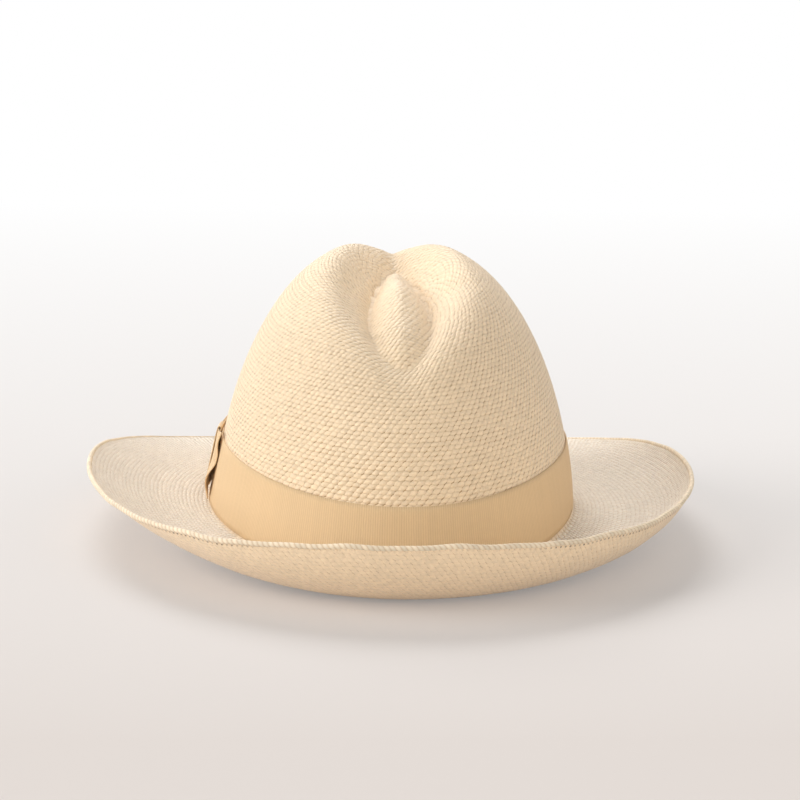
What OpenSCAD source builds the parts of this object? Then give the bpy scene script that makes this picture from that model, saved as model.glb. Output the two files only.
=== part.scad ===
// Panama hat: one woven straw body with a ribbon band, a flat side bow and a leather sweatband.
// Millimetres. +Y is the hat's front, +X the wearer's right, +Z up. The hat rests on z = 0,
// and the origin is under the middle of its outline.

/* [Crown] */
// Half the crown's width where it meets the brim, outside the straw
crown_half_width = 85; // [78:0.5:95]
// Half the crown's length where it meets the brim, outside the straw
crown_half_length = 102.5; // [95:0.5:115]
// Height of the round dome before it is dented
dome_height = 129; // [110:0.5:150]
// Rise of the dome towards the front, per mm of length
dome_rise = 0.165; // [0:0.005:0.3]
// How far the top stands forward of the base
dome_lean = 6; // [0:0.5:12]
// Fullness of the dome's shoulder
dome_shoulder = 2.75; // [2:0.05:4]
// Uprightness of the dome's wall
dome_wall = 1.65; // [1.2:0.05:3]
// Flare of the crown's foot at the front
flare_front = 2; // [0:0.5:8]
// Flare at the right
flare_right = 0; // [0:0.5:8]
// Flare at the back
flare_back = 4; // [0:0.5:8]
// Flare at the left
flare_left = 3; // [0:0.5:8]
// Height of the flared foot
flare_height = 35; // [15:1:60]
// Radius at the brim break, between crown and brim
break_radius = 1.5; // [1:0.25:6]
// Thickness of the woven straw
straw_t = 1.4; // [0.8:0.1:2.5]

/* [Crown dents] */
// Back end of the teardrop dent
dent_back = -74; // [-90:1:-50]
// Front end of the teardrop dent
dent_front = 73; // [50:1:85]
// Where the teardrop dent is widest
dent_middle = -10; // [-30:1:20]
// Half the dent's width there
dent_half_width = 36; // [25:0.5:45]
// How much the dent narrows towards the front
dent_taper = 0.45; // [0:0.05:0.7]
// Depth of the dent
dent_depth = 19; // [5:0.5:28]
// Share of the dent taken by its sloping wall
dent_wall = 0.66; // [0.4:0.02:1]
// Back end of the raised leaf inside the dent
leaf_back = -62; // [-75:1:-40]
// Front tip of the raised leaf
leaf_front = 32; // [10:1:50]
// Where the leaf is widest
leaf_middle = -20; // [-35:1:0]
// Half the leaf's width there
leaf_half_width = 14; // [8:0.5:22]
// How much the leaf narrows towards its tip
leaf_taper = 0.4; // [0:0.05:0.7]
// How much the leaf widens towards its round end
leaf_flare = 0.15; // [0:0.05:0.3]
// Height of the leaf over the dent's floor
leaf_height = 9; // [2:0.5:14]
// Depth of the crease pressed round the leaf
leaf_crease = 2.5; // [0:0.5:5]
// Half the width of that crease
leaf_crease_width = 6; // [3:0.5:12]
// Depth of the finger pinch on each side of the front
pinch_depth = 11; // [0:0.5:18]
// Distance of the pinches in front of the crown's middle
pinch_front = 62; // [40:1:80]
// Height of the pinches
pinch_height = 88; // [70:1:100]
// Length of the pinches
pinch_length = 26; // [15:1:40]
// Height range of the pinches
pinch_reach = 23; // [12:1:30]

/* [Brim] */
// Width of the brim along its curve, edge included
brim_width = 64; // [40:0.5:90]
// Height of the brim break at the front
break_front = 8.4; // [2:0.1:20]
// Height of the brim break at the right side
break_right = 12; // [2:0.1:25]
// Height of the brim break at the back
break_back = 3; // [2:0.1:20]
// Height of the brim break at the left side
break_left = 11; // [2:0.1:25]
// Slope of the brim beside the crown at the front
start_front = -2; // [-30:1:30]
// Slope of the brim beside the crown at the right side
start_right = -9; // [-30:1:30]
// Slope of the brim beside the crown at the back
start_back = -20; // [-30:1:30]
// Slope of the brim beside the crown at the left side
start_left = 12; // [-30:1:30]
// Slope at the outer edge at the front
edge_front = -13; // [-40:1:80]
// Slope at the outer edge at the right side
edge_right = 68; // [-40:1:90]
// Slope at the outer edge at the back
edge_back = 82; // [-40:1:100]
// Slope at the outer edge at the left side
edge_left = 29; // [-40:1:90]
// How late the front of the brim curls
curl_front = 1.5; // [0.6:0.05:3]
// How late the right side of the brim curls
curl_right = 1.9; // [0.6:0.05:3]
// How late the back of the brim curls
curl_back = 0.95; // [0.6:0.05:3]
// How late the left side of the brim curls
curl_left = 1.8; // [0.6:0.05:3]
// Diameter of the woven rope edge
edge_bead = 2.4; // [2:0.1:5]

/* [Ribbon and bow] */
// Height of the ribbon band
ribbon_height = 30; // [15:0.5:50]
// Thickness of the ribbon
ribbon_t = 0.6; // [0.3:0.1:1.2]
// Gap between the ribbon and the straw
ribbon_gap = 0.2; // [0.1:0.05:0.5]
// Height of the ribbon's lower edge over the brim break
ribbon_low = 1.2; // [1:0.1:6]
// Gap between the ends of the ribbon, under the bow
ribbon_joint = 1; // [0.4:0.1:4]
// Distance of the bow in front of the hat's middle
bow_front = 14; // [-20:1:40]
// Half the bow's length
bow_half_length = 24; // [15:0.5:40]
// Height of the bow's ends
bow_end_height = 32; // [20:0.5:45]
// Height of the bow where the knot gathers it
bow_waist_height = 26; // [15:0.5:40]
// Height of the bow's middle over the brim break
bow_middle = 18; // [10:0.5:30]
// Thickness of the bow's ribbon
bow_t = 0.5; // [0.3:0.1:1]
// Clear space between the bow's layers
bow_gap = 0.3; // [0.15:0.05:0.6]
// How far the lower half of the bow's ends stands off the band
bow_lift_low = 3; // [0.5:0.1:6]
// How far their upper half stands off
bow_lift_high = 1.1; // [0.3:0.1:4]
// Width of the folds at the bow's ends
bow_fold = 0.8; // [0.8:0.1:4]
// Width of the knot
knot_width = 11; // [6:0.5:20]

/* [Sweatband] */
// Height of the leather sweatband
sweat_height = 35; // [20:0.5:50]
// Thickness of the leather
sweat_t = 0.9; // [0.6:0.1:1.6]
// Height of the sweatband's lower edge over the brim break
sweat_low = 1.2; // [0.5:0.1:4]
// Thickness of the tape round the reed
tape_t = 0.35; // [0.2:0.05:0.6]
// Height of the tape's flap behind the sweatband
tape_flap = 7; // [3:0.5:15]
// Diameter of the reed
reed_d = 1.6; // [1:0.1:3]
// Gap between neighbouring sewn layers
layer_gap = 0.15; // [0.05:0.05:0.3]
// Gap between the sweatband's ends at the back
seam_gap = 0.6; // [0.3:0.1:2]
// Width of the tab behind that seam
seam_tab_width = 14; // [8:0.5:25]
// Number of stitches along the sweatband
stitch_count = 90; // [40:2:140]
// Thickness of the sewing thread
thread_d = 0.4; // [0.2:0.05:0.6]
// Half the length of the small bow on the seam
small_bow_half_length = 9; // [5:0.5:15]
// Width of the small bow's ribbon
small_bow_height = 6; // [3:0.5:10]

/* [Hidden] */

// Angle between two rows of points round the hat
turn = 5;
// Rows of points across the brim, the break and the crown
brim_rows = 8;
break_rows = 3;
crown_rows = 30;
bead_angles = [90, 40, 0, -40, -90];

break_z = [break_front, break_right, break_back, break_left];
start_slope = [start_front, start_right, start_back, start_left];
edge_slope = [edge_front, edge_right, edge_back, edge_left];
curl = [curl_front, curl_right, curl_back, curl_left];
flare = [flare_front, flare_right, flare_back, flare_left];
degrees = 180 / PI;
angles = [for (f = [0 : turn : 359.9]) f];

// Offsets from the outside of the straw wall, outwards positive
ribbon_in = ribbon_gap;
ribbon_out = ribbon_gap + ribbon_t;
knot_in = ribbon_out + layer_gap;
loop_in = knot_in + bow_t + bow_gap;
waist_gap = bow_t + bow_gap;
loop_mid = loop_in + bow_t / 2 + waist_gap / 2;
bow_sink = loop_in - ribbon_out - 0.2;
tape_out = -straw_t - layer_gap;
sweat_out = tape_out - tape_t - layer_gap;
sweat_in = sweat_out - sweat_t;
reed_r = reed_d / 2;
tube_r = reed_r + 0.1 + tape_t;
reed_off = tape_out - tube_r;
reed_z = sweat_low - layer_gap - tube_r;
bow_angle = 180 - asin(bow_front / crown_half_length);
bead_r = edge_bead / 2;
bead_reach = bead_r + sqrt(max(bead_r * bead_r - straw_t * straw_t / 4, 0));

function sum(v) = v * [for (x = v) 1];
function clamp(x) = min(max(x, 0), 1);
function soft(x) = x * x * (3 - 2 * x);
function power(x, e) = sign(x) * pow(abs(x), e);
function reverse(v) = [for (i = [len(v) - 1 : -1 : 0]) v[i]];

// A setting that changes smoothly round the hat, from its front, right, back and left values
function around(f, v) =
    let (c = cos(f), s = sin(f), side = s > 0 ? pow(abs(c), 3) : c * c)
    (c > 0 ? v[1] : v[3]) * side + (s > 0 ? v[0] : v[2]) * (1 - side);

// The direction straight out from the crown's oval, the flare of its foot, and the brim break
function out(f) =
    let (n = [cos(f) / crown_half_width, sin(f) / crown_half_length, 0])
    n / norm(n);
function spread(f, h) = out(f) * around(f, flare) * pow(max(1 - h * dome_height / flare_height, 0), 2);
function base(f) = [crown_half_width * cos(f), crown_half_length * sin(f), around(f, break_z)] + spread(f, 0);

// The brim: a curve rolled out from the break, whose slope changes from start to edge
function slope(f, s) =
    let (a = around(f, start_slope), b = around(f, edge_slope))
    a + (b - a) * pow(s / brim_width, around(f, curl));
function brim(f, s, lift = 0, along = 0) =
    let (steps = 16,
        a = [for (k = [0.5 : steps]) slope(f, s * k / steps)],
        e = slope(f, s),
        d = s / steps * sum([for (q = a) cos(q)]),
        h = s / steps * sum([for (q = a) sin(q)]))
    base(f) + out(f) * (d - around(f, flare) * s / brim_width - lift * sin(e) + along * cos(e))
        + [0, 0, h + lift * cos(e) + along * sin(e)];

// The crown before it is dented: h runs from 0 at the break to 1 at the top
function girth(h) = pow(max(1 - pow(h, dome_wall), 0), 1 / dome_shoulder);
function dome(f, h) =
    let (r = girth(h), y = crown_half_length * r * sin(f) + dome_lean * h, z = around(f, break_z))
    [crown_half_width * r * cos(f), y, z * (1 - h) + (dome_height + dome_rise * y) * h] + spread(f, h);

// How far a point lies from the middle of a teardrop, across it and along it: length 1 on its outline
function teardrop(p, back, front, middle, half, to_front, to_back) =
    let (v = p.y > middle ? (p.y - middle) / (front - middle) : (middle - p.y) / (middle - back),
        narrow = 1 - (p.y > middle ? to_front : to_back) * min(v, 1))
    [p.x / (half * narrow), v];

// Height of the leaf with its ridge along the middle, less the crease round it
function leaf(q) =
    let (b = norm(q), along = max(1 - q[1] * q[1], 0.001))
    (b < 1 ? leaf_height * along * (1 - pow(min(q[0] * q[0] / along, 1), 0.75)) : 0)
        - leaf_crease * pow(clamp(1 - abs(b - 1) * leaf_half_width / leaf_crease_width), 1.5);

// The dome with its dent, the leaf in the dent and the two front pinches
function blocked(p) =
    let (d = norm(teardrop(p, dent_back, dent_front, dent_middle, dent_half_width, dent_taper, 0)),
        q = teardrop(p, leaf_back, leaf_front, leaf_middle, leaf_half_width, leaf_taper, -leaf_flare),
        z = p.z - dent_depth * soft(clamp((1 - d) / dent_wall)) + leaf(q),
        g = exp(-pow((p.y - pinch_front) / pinch_length, 2) - pow((z - pinch_height) / pinch_reach, 2)))
    [p.x - p.x / norm([p.x, 15]) * pinch_depth * g, p.y, z];

// A point on the crown's wall at a height over the break, moved out by an offset
function wall_h(f, up, k = 4, h = 0) =
    k == 0 ? h
    : wall_h(f, up, k - 1, up / (dome_height - around(f, break_z)
        + dome_rise * (crown_half_length * girth(h) * sin(f) + dome_lean * h)));
function wall_face(f, up) = dome(f, wall_h(f, up));
function wall(f, up, off) =
    let (u = max(up, 0), p = wall_face(f, u), d = wall_face(f, u + 1) - p, o = out(f), r = d * o)
    p + (o * d.z - [0, 0, r]) / norm([r, d.z]) * off + [0, 0, min(up, 0)];

// Outside of the straw, one line of points at an angle, from the brim's edge to near the top
function crown_start(f) = acos(girth(wall_h(f, break_radius)));
function crown_line(f, a) = blocked(dome(f, pow(1 - pow(cos(a), dome_shoulder), 1 / dome_wall)));
function straw_line(f) =
    let (last = brim_width - bead_reach, a = brim(f, break_radius), c = base(f), b = wall(f, break_radius, 0),
        low = crown_start(f))
    concat(
        [for (i = [0 : brim_rows - 1]) brim(f, last + (break_radius - last) * i / brim_rows)],
        [for (i = [0 : break_rows - 1]) let (k = i / break_rows)
            a * (1 - k) * (1 - k) + c * 2 * k * (1 - k) + b * k * k],
        [for (i = [0 : crown_rows - 1]) crown_line(f, low + (86.4 - low) * pow(i / (crown_rows - 1), 0.85))]);

// The same points as rows round the hat, and the inside of the straw behind them
lines = [for (f = angles) straw_line(f)];
row_count = len(lines[0]);
count = len(angles);
function inward(i, j) =
    let (a = lines[(j + 1) % count][i] - lines[(j + count - 1) % count][i],
        b = lines[j][min(i + 1, row_count - 1)] - lines[j][max(i - 1, 0)],
        n = cross(a, b))
    lines[j][i] - n / norm(n) * straw_t;
function bead_row(a) = [for (f = angles) brim(f, brim_width - bead_r, bead_r * sin(a) - straw_t / 2, bead_r * cos(a))];
outer_rows = [for (i = [0 : row_count - 1]) [for (l = lines) l[i]]];
inner_rows = [for (i = [0 : row_count - 1]) [for (j = [0 : count - 1]) inward(i, j)]];
bead_rows = [for (a = bead_angles) bead_row(a)];
top = blocked(dome(0, 1));
straw_rows = concat(reverse(outer_rows), bead_rows, inner_rows);

// Middle of the hat's outline and its lowest point, which the origin is set by
edge_x = [for (r = bead_rows) for (p = r) p.x];
edge_y = [for (r = bead_rows) for (p = r) p.y];
low_z = [for (r = straw_rows) for (p = r) p.z];
origin = [(max(edge_x) + min(edge_x)) / 2, (max(edge_y) + min(edge_y)) / 2, min(low_z)];

// Solid between closed loops of points, joined in order
module sweep(loops, closed = true, flip = false) {
    n = len(loops);
    m = len(loops[0]);
    spans = closed ? n : n - 1;
    sides = [for (i = [0 : spans - 1]) for (j = [0 : m - 1])
        let (a = i * m, b = (i + 1) % n * m, k = (j + 1) % m)
        each [[a + j, a + k, b + k], [a + j, b + k, b + j]]];
    half = m / 2;
    ends = closed ? [] : [for (i = [0 : half - 2]) let (j = m - 1 - i, e = (n - 1) * m)
        each [[i + 1, i, j], [i + 1, j, j - 1], [e + i, e + i + 1, e + j], [e + i + 1, e + j - 1, e + j]]];
    faces = concat(sides, ends);
    polyhedron([for (l = loops) for (p = l) p], flip ? [for (t = faces) reverse(t)] : faces);
}

// A strip along the crown's wall: offsets of its two faces, lower and upper edge, angles
module strip(inner, outer, low, high, at, closed) {
    rows = [for (k = [0 : 0.25 : 1]) low + (high - low) * k];
    loops = [for (f = at) concat([for (z = rows) wall(f, z, outer)], [for (z = reverse(rows)) wall(f, z, inner)])];
    sweep(loops, closed);
}

// Angles of an open strip that starts and ends a little to each side of one angle
function open_turn(f, half) =
    concat([f + half], [for (a = [turn * ceil((f + half + 0.5) / turn) : turn : f + 360 - half - 0.5]) a],
        [f + 360 - half]);

// Thread lying on the wall, along it or up it
module thread(f, up, off, length, upright) {
    o = out(f);
    translate(wall(f, up, off))
        rotate([0, 0, atan2(o.y, o.x)])
            rotate(upright ? [0, 0, 0] : [90, 0, 0])
                cylinder(h = length, d = thread_d, center = true, $fn = 24);
}

module straw_body() {
    n = len(straw_rows);
    sides = [for (i = [0 : n - 2]) for (j = [0 : count - 1])
        let (a = i * count, b = a + count, k = (j + 1) % count)
        each [[a + j, a + k, b + k], [a + j, b + k, b + j]]];
    caps = [for (j = [0 : count - 1]) let (k = (j + 1) % count, e = (n - 1) * count, t = n * count)
        each [[t, k, j], [e + j, e + k, t + 1]]];
    color([0.95, 0.87, 0.72])
        polyhedron(concat([for (r = straw_rows) each r], [top, top - [0, 0, straw_t]]), concat(sides, caps));
}

module hat_ribbon() {
    half = ribbon_joint / 2 / crown_half_length * degrees;
    color([0.83, 0.68, 0.48])
        strip(ribbon_in, ribbon_out, ribbon_low, ribbon_low + ribbon_height, open_turn(bow_angle, half), false);
}

// A point on the bow: along it to the front, up from its middle, and out from the straw
function bow_point(s, y, off) = wall(bow_angle - s / crown_half_length * degrees, bow_middle + y, off);
function bow_reach(s) = pow(abs(s) / bow_half_length, 2);
function swell(x) = pow(max(1 - x * x, 0), 2);
// The bow's ends lie on the band but for two pockets, a wide one below and a narrow one above it
function bow_lift(s, y) =
    let (k = y / bow_end_height)
    bow_reach(s) * (bow_lift_low * swell((k + 0.23) / 0.29) + bow_lift_high * swell((k - 0.34) / 0.2) - bow_sink);
function bow_half_height(s) = (bow_waist_height + (bow_end_height - bow_waist_height) * min(bow_reach(s), 1)) / 2;
function loop_point(a, k, side) =
    let (s = (bow_half_length + side * bow_t / 2) * power(cos(a), 0.55),
        gap = waist_gap + (bow_fold - waist_gap) * bow_reach(s),
        y = k * bow_half_height(s))
    bow_point(s, y, loop_mid + bow_lift(s, y) + (gap - waist_gap) / 2
        + (gap + side * bow_t) / 2 * power(sin(a), 0.55));

module bow_loops() {
    loops = [for (a = [0 : 10 : 359]) concat([for (k = [-1 : 0.125 : 1]) loop_point(a, k, 1)],
        [for (k = [1 : -0.125 : -1]) loop_point(a, k, -1)])];
    color([0.83, 0.68, 0.48])
        sweep(loops);
}

module bow_knot() {
    high = bow_waist_height / 2 + bow_gap + 0.5;
    deep = waist_gap / 2 + bow_t / 2 + bow_gap;
    wide = [-knot_width / 2 : knot_width / 4 : knot_width / 2];
    loops = [for (a = [0 : 15 : 359]) concat(
        [for (s = wide) bow_point(s, (high + bow_t) * power(cos(a), 0.4),
            loop_mid + (deep + bow_t) * power(sin(a), 0.4))],
        [for (s = [knot_width / 2 : -knot_width / 4 : -knot_width / 2]) bow_point(s, high * power(cos(a), 0.4),
            loop_mid + deep * power(sin(a), 0.4))])];
    color([0.83, 0.68, 0.48])
        sweep(loops, flip = true);
}

// Threads that hold the bow's two ends to the band
module bow_tacks() {
    s = bow_half_length - 4;
    low = ribbon_out + 0.05;
    high = loop_in + bow_lift(s, 0) - 0.05;
    color([0.97, 0.94, 0.87])
        for (k = [-s, s]) {
            f = bow_angle - k / crown_half_length * degrees;
            o = out(f);
            translate(wall(f, bow_middle, low))
                rotate([0, 90, atan2(o.y, o.x)])
                    cylinder(h = high - low, d = thread_d, $fn = 24);
        }
}

// Small stitches that hold the band's lower edge to the straw
module ribbon_tacks() {
    color([0.97, 0.94, 0.87])
        for (f = [20, 75, 130, 230, 247, 310])
            thread(f, ribbon_low + 4, ribbon_out + thread_d / 2 + 0.02, 1.6, true);
}

module sweatband() {
    half = seam_gap / 2 / crown_half_width * degrees;
    color([0.55, 0.36, 0.2])
        strip(sweat_in, sweat_out, sweat_low, sweat_low + sweat_height, open_turn(270, half), false);
}

// Tape folded round the reed, with a flap that runs up behind the sweatband
module reed_tape() {
    flap = sweat_low + tape_flap;
    inner = tape_out - tape_t;
    section = concat(
        [[tape_out, reed_z], [tape_out, flap], [inner, flap], [inner, reed_z + tube_r]],
        [for (a = [100 : 40 : 180]) [reed_off + tube_r * cos(a), reed_z + tube_r * sin(a)]],
        [for (a = [220 : 40 : 340]) [reed_off + tube_r * cos(a), reed_z + tube_r * sin(a)]]);
    color([0.9, 0.86, 0.78])
        difference() {
            sweep([for (f = angles) [for (q = section) wall(f, q[1], q[0])]]);
            sweep(reed_loops(reed_r + 0.1));
        }
}

function reed_loops(r) =
    [for (f = angles) [for (a = [0 : 45 : 359]) wall(f, reed_z + r * sin(a), reed_off + r * cos(a))]];

module sweatband_reed() {
    color([0.85, 0.8, 0.7])
        sweep(reed_loops(reed_r));
}

module seam_tab() {
    half = seam_tab_width / 2 / crown_half_width * degrees;
    at = [for (k = [-1 : 0.25 : 1]) 270 + k * half];
    mid = (sweat_out - straw_t) / 2;
    color([0.9, 0.86, 0.78])
        strip(mid - tape_t / 2, mid + tape_t / 2, sweat_low + tape_flap + 1, sweat_low + sweat_height - 2, at, false);
}

module sweatband_stitches() {
    color([0.95, 0.9, 0.8])
        for (i = [0 : stitch_count - 1])
            thread(270 + (i + 0.5) * 360 / stitch_count, sweat_low + 2, sweat_in - thread_d / 2 - 0.02, 3, false);
}

// The small bow inside, tied of one narrow ribbon over the sweatband's seam
function small_bow_point(s, y, off) = wall(270 + s / crown_half_width * degrees, sweat_low + 9 + y, sweat_in - off);
module sweatband_bow() {
    t = 0.4;
    ks = [-1, 0, 1];
    color([0.45, 0.3, 0.18])
        union() {
            sweep([for (a = [0 : 15 : 359]) concat(
                [for (k = ks) small_loop(a, k, t / 2)],
                [for (k = reverse(ks)) small_loop(a, k, -t / 2)])]);
            sweep([for (s = [-2 : 1 : 2]) [for (a = [0 : 30 : 359])
                small_bow_point(s, (small_bow_height / 2 - 0.4) * power(cos(a), 0.6), 1.15 + 1 * power(sin(a), 0.6))]],
                closed = false);
        }
}
function small_loop(a, k, side) =
    let (s = (small_bow_half_length + side) * power(cos(a), 0.6), reach = pow(s / small_bow_half_length, 2))
    small_bow_point(s, k * small_bow_height / 2 * (0.75 + 0.25 * min(reach, 1)),
        1.15 + 0.35 * reach + (0.3 + 0.75 * reach + side) * power(sin(a), 0.6));

translate(-origin) {
    straw_body();
    hat_ribbon();
    bow_loops();
    bow_knot();
    bow_tacks();
    ribbon_tacks();
    sweatband();
    reed_tape();
    sweatband_reed();
    seam_tab();
    sweatband_stitches();
    sweatband_bow();
}
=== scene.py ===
import math

import bpy
import numpy as np
from mathutils import Matrix, Vector


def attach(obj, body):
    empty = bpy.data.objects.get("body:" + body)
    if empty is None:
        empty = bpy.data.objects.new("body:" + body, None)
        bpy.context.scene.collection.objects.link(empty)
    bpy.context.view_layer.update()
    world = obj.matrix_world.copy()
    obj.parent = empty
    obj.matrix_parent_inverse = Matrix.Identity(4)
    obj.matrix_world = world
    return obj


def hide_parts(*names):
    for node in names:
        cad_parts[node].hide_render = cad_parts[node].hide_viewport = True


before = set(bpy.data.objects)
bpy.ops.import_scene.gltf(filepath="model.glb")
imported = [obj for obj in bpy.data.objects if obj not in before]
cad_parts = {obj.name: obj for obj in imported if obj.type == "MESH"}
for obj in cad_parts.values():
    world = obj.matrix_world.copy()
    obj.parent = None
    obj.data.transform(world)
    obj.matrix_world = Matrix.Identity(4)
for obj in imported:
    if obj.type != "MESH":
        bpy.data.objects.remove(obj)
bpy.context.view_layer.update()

# Sizes in millimetres and angles in degrees, as in the part.
# Four values go round the hat: front, right, back, left.
HALF_WIDTH = 85.0
HALF_LENGTH = 102.5
DOME_HEIGHT = 129.0
DOME_RISE = 0.165
DOME_LEAN = 6.0
DOME_SHOULDER = 2.75
DOME_WALL = 1.65
FLARE = (2, 0, 4, 3)
FLARE_HEIGHT = 35.0
BREAK_RADIUS = 1.5
STRAW_T = 1.4
DENT = {"back": -74, "front": 73, "middle": -10, "half": 36, "to_front": 0.45, "to_back": 0}
DENT_DEPTH = 19
DENT_WALL = 0.66
LEAF = {"back": -62, "front": 32, "middle": -20, "half": 14, "to_front": 0.4, "to_back": -0.15}
LEAF_HEIGHT = 9
LEAF_CREASE = 2.5
LEAF_CREASE_WIDTH = 6
PINCH_DEPTH = 11
PINCH_FRONT = 62
PINCH_HEIGHT = 88
PINCH_LENGTH = 26
PINCH_REACH = 23
PINCH_BLEND = 15
BRIM_WIDTH = 64.0
BREAK_Z = (8.4, 12, 3, 11)
START_SLOPE = (-2, -9, -20, 12)
EDGE_SLOPE = (-13, 68, 82, 29)
CURL = (1.5, 1.9, 0.95, 1.8)
BEAD_R = 1.2
RIBBON_LOW = 1.2
RIBBON_HEIGHT = 30.0
RIBBON_T = 0.6
RIBBON_IN = 0.2
RIBBON_OUT = RIBBON_IN + RIBBON_T
RIBBON_JOINT = 1.0
BOW_FRONT = 14.0
BOW_HALF_LENGTH = 24.0
BOW_END_HEIGHT = 32.0
BOW_WAIST_HEIGHT = 26.0
BOW_MIDDLE = 18.0
BOW_T = 0.5
BOW_GAP = 0.3
BOW_LIFT_LOW = 3.0
BOW_LIFT_HIGH = 1.1
BOW_FOLD = 0.8
KNOT_WIDTH = 11.0
LAYER_GAP = 0.15
SWEAT_LOW = 1.2
SWEAT_HEIGHT = 35.0
SWEAT_T = 0.9
SEAM_GAP = 0.6
SEAM_TAB_WIDTH = 14.0
TAPE_T = 0.35
TAPE_FLAP = 7.0
REED_R = 0.8
STITCH_COUNT = 90
STITCH_LENGTH = 3.0
TACK_LENGTH = 1.6
THREAD_D = 0.4
RIBBON_TACK_ANGLES = (20, 75, 130, 230, 247, 310)
SMALL_BOW_HALF_LENGTH = 9.0
SMALL_BOW_HEIGHT = 6.0
SMALL_BOW_UP = 9
SMALL_BOW_OFF = 1.15
# Middle of the hat's outline and its lowest point, which lie over the frame's origin
ORIGIN = np.array([-1.7215, 7.1586, -0.3056])

# Forms that only the scene has: a softer rim to the dent, in shares of its half width, a fold before
# the leaf and small waves of the brim's edge
RIM_ROUNDING = np.array([-0.16, 0, 0.16])
FOLD_DEPTH = 2.0
FOLD_HALF_WIDTH = 7
FOLD_OVER_LEAF = 6
FOLD_START = 8
FOLD_END = 20
EDGE_WAVE = 0.32

# Offsets from the outside of the straw wall, outwards positive
KNOT_IN = RIBBON_OUT + LAYER_GAP
LOOP_IN = KNOT_IN + BOW_T + BOW_GAP
WAIST_GAP = BOW_T + BOW_GAP
LOOP_MID = LOOP_IN + BOW_T / 2 + WAIST_GAP / 2
BOW_SINK = LOOP_IN - RIBBON_OUT - 0.2
TAPE_OUT = -STRAW_T - LAYER_GAP
SWEAT_OUT = TAPE_OUT - TAPE_T - LAYER_GAP
SWEAT_IN = SWEAT_OUT - SWEAT_T
TUBE_R = REED_R + 0.1 + TAPE_T
REED_OFF = TAPE_OUT - TUBE_R
REED_Z = SWEAT_LOW - LAYER_GAP - TUBE_R
BOW_ANGLE = math.pi - math.asin(BOW_FRONT / HALF_LENGTH)
BACK = 1.5 * math.pi
TURN = 2 * math.pi

# The woven straw and the ribbed ribbon: lengths in millimetres, lean in degrees, fibres to a millimetre
STRAW_LENGTH = 3.3
ROW_HEIGHT = 2.05
CROWN_STRAWS = 160
FEWEST_STRAWS = 9
FEWEST_INSIDE = 12
CROWDED_STRAW = 2.5
WIDENED_STRAW = 3.4
GAPING_STRAW = 2.8
ADDED_STRAW = 2.3
STRAW_RELIEF = 0.07
UNDER_RELIEF = 0.04
GRAIN_LEAN = 28
GRAIN_HALF_LENGTH = 1.5
GRAIN_HALF_WIDTH = 0.84
FIBRES_ALONG = 0.5
FIBRES_ACROSS = 5
HOLE_PLACE = 2.7
EDGE_TWISTS = 380
EDGE_CORE_R = 0.85
FAR_FROM_EDGE = 90
RIBBON_LENGTH = 600.0
RIB_PITCH = 1.1
RIB_RELIEF = 0.06
KNOT_RIB_RELIEF = 0.05
LOOP_RIB_SHARE = 0.2


# Form of the hat

def around(f, values):
    """A setting that changes smoothly round the hat."""
    c = np.cos(f)
    s = np.sin(f)
    side = np.where(s > 0, np.abs(c) ** 3, c * c)
    right_or_left = np.where(c > 0, values[1], values[3])
    front_or_back = np.where(s > 0, values[0], values[2])
    return right_or_left * side + front_or_back * (1 - side)


def outward(f):
    """The level direction straight out from the crown's oval."""
    n = np.stack([np.cos(f) / HALF_WIDTH, np.sin(f) / HALF_LENGTH, 0 * f], -1)
    return n / np.linalg.norm(n, axis=-1, keepdims=True)


def spread(f, h):
    """The flare of the crown's foot."""
    reach = around(f, FLARE) * np.maximum(1 - h * DOME_HEIGHT / FLARE_HEIGHT, 0) ** 2
    return outward(f) * reach[..., None]


def break_line(f):
    """The oval where crown and brim meet."""
    oval = np.stack([HALF_WIDTH * np.cos(f), HALF_LENGTH * np.sin(f), around(f, BREAK_Z)], -1)
    return oval + spread(f, 0 * f)


def slope(f, s):
    """The brim's slope at a distance from the break, in radians."""
    a = around(f, START_SLOPE)
    b = around(f, EDGE_SLOPE)
    return np.radians(a + (b - a) * (s / BRIM_WIDTH) ** around(f, CURL))


def edge_waves(f):
    """Small waves of the hand-woven edge, none at the front."""
    waves = np.sin(13 * f + 0.6) + 0.8 * np.sin(22 * f + 2.1) + 0.6 * np.sin(37 * f + 4)
    return EDGE_WAVE * waves * (1 - np.sin(f)) / 2


def brim(f, s, lift=0.0, along=0.0):
    """A point on the brim at a distance from the break, moved square to it and along it."""
    f, s, lift, along = np.broadcast_arrays(*(np.asarray(v, float) for v in (f, s, lift, along)))
    steps = (np.arange(16) + 0.5) / 16
    a = slope(f[..., None], s[..., None] * steps)
    e = slope(f, s)
    run = s * np.cos(a).mean(-1) - around(f, FLARE) * s / BRIM_WIDTH
    run = run - lift * np.sin(e) + along * np.cos(e)
    rise = s * np.sin(a).mean(-1) + lift * np.cos(e) + along * np.sin(e)
    rise = rise + edge_waves(f) * (s / BRIM_WIDTH) ** 3
    p = break_line(f) + outward(f) * run[..., None]
    p[..., 2] += rise
    return p


def girth(h):
    """The dome's width at a height, as a share of its width at the break."""
    return np.maximum(1 - h ** DOME_WALL, 0) ** (1 / DOME_SHOULDER)


def dome(f, h):
    """The crown before it is dented: h runs from 0 at the break to 1 at the top."""
    f, h = np.broadcast_arrays(np.asarray(f, float), np.asarray(h, float))
    r = girth(h)
    y = HALF_LENGTH * r * np.sin(f) + DOME_LEAN * h
    z = around(f, BREAK_Z) * (1 - h) + (DOME_HEIGHT + DOME_RISE * y) * h
    return np.stack([HALF_WIDTH * r * np.cos(f), y, z], -1) + spread(f, h)


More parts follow.
